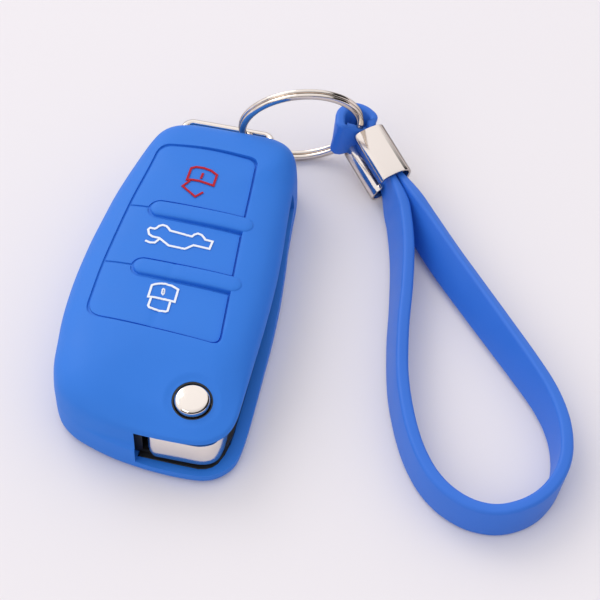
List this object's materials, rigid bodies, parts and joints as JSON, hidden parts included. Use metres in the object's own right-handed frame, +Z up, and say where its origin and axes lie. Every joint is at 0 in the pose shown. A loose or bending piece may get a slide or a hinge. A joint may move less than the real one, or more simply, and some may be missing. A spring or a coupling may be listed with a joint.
{
  "type": "key fob cover",
  "caption": "Soft silicone sleeve over a folding car key: pressable pads, release button, flip-out blade, split ring on a bail and a clamped wrist strap.",
  "frame": {"origin": "centre of the cover's outline, on the plane of its back, which lies on the table", "axes": "+Z up out of the front with the pads, +Y towards the ring end, +X towards the slit that the blade folds into"},
  "size_m": [0.1037, 0.0932, 0.0264],
  "materials": {
    "blue_silicone": "matt silicone with a soft sheen",
    "black_plastic": "fine matt texture",
    "grey_rubber": "matt",
    "key_rubber": "matt",
    "board_green": "satin solder mask",
    "switch_plastic": "satin",
    "chip_black": "matt",
    "copper_frame": "lacquered wire",
    "led_red": "clear",
    "cell_steel": "fine brushed",
    "contact_brass": "plain",
    "screw_steel": "plain",
    "hub_chrome": "satin chrome",
    "blade_steel": "milled",
    "spring_steel": "plain",
    "button_chrome": "polished",
    "bail_chrome": "polished",
    "ring_chrome": "polished",
    "clamp_chrome": "polished"
  },
  "bodies": {
    "fob": {"cover": "blue_silicone", "front_shell": "black_plastic", "rear_shell": "black_plastic", "keypad": "grey_rubber", "circuit_board": "board_green", "tact_switches": "switch_plastic", "radio_chip": "chip_black", "control_chip": "chip_black", "antenna_coil": "copper_frame", "indicator_led": "led_red", "battery": "cell_steel", "battery_clip_plus": "contact_brass", "battery_clip_minus": "contact_brass", "case_screw": "screw_steel", "pivot_post": "screw_steel", "ring_bail": "bail_chrome", "flip_spring": "spring_steel", "button_spring": "spring_steel"},
    "blade": {"blade_hub": "hub_chrome", "key_blade": "blade_steel", "blade_pin": "screw_steel"},
    "release": {"release_button": "button_chrome"},
    "unlock_cap": {"unlock_pad": "blue_silicone"},
    "boot_cap": {"boot_pad": "blue_silicone"},
    "lock_cap": {"lock_pad": "blue_silicone"},
    "unlock_plunger": {"unlock_key": "key_rubber"},
    "boot_plunger": {"boot_key": "key_rubber"},
    "lock_plunger": {"lock_key": "key_rubber"},
    "ring": {"split_ring": "ring_chrome"},
    "wrist_strap": {"strap_clamp": "clamp_chrome", "strap": "blue_silicone"}
  },
  "joints": [
    {"name": "blade_flip", "type": "hinge", "parent": "fob", "child": "blade", "pos_m": [0.0106, -0.0296, 0], "axis": [0, 0, 1], "range_deg": [-180, 0]},
    {"name": "release_press", "type": "slide", "parent": "fob", "child": "release", "axis": [0, 0, -1], "range_m": [0, 0.0016], "stiffness_N_per_m": 800, "deforming": ["button_spring"]},
    {"name": "unlock_press", "type": "slide", "parent": "fob", "child": "unlock_cap", "axis": [0, 0, -1], "range_m": [0, 0.0007], "stiffness_N_per_m": 1500},
    {"name": "boot_press", "type": "slide", "parent": "fob", "child": "boot_cap", "axis": [0, 0, -1], "range_m": [0, 0.0007], "stiffness_N_per_m": 1500},
    {"name": "lock_press", "type": "slide", "parent": "fob", "child": "lock_cap", "axis": [0, 0, -1], "range_m": [0, 0.0007], "stiffness_N_per_m": 1500},
    {"name": "unlock_key_press", "type": "slide", "parent": "fob", "child": "unlock_plunger", "axis": [0, 0, -1], "range_m": [0, 0.0007], "stiffness_N_per_m": 1500},
    {"name": "boot_key_press", "type": "slide", "parent": "fob", "child": "boot_plunger", "axis": [0, 0, -1], "range_m": [0, 0.0007], "stiffness_N_per_m": 1500},
    {"name": "lock_key_press", "type": "slide", "parent": "fob", "child": "lock_plunger", "axis": [0, 0, -1], "range_m": [0, 0.0007], "stiffness_N_per_m": 1500},
    {"name": "ring_swing", "type": "hinge", "parent": "fob", "child": "ring", "pos_m": [-0.0014, 0.0443, 0.009], "axis": [1, 0, 0], "range_deg": [-30, 0]},
    {"name": "strap_swing", "type": "hinge", "parent": "ring", "child": "wrist_strap", "pos_m": [0.02497, 0.04935, 0.00882], "axis": [0.4093, -0.0641, 0.9102], "range_deg": [-20, 0]}
  ],
  "couplings": [
    {"joint": "unlock_key_press", "follows": "unlock_press", "ratio": 1},
    {"joint": "boot_key_press", "follows": "boot_press", "ratio": 1},
    {"joint": "lock_key_press", "follows": "lock_press", "ratio": 1}
  ]
}
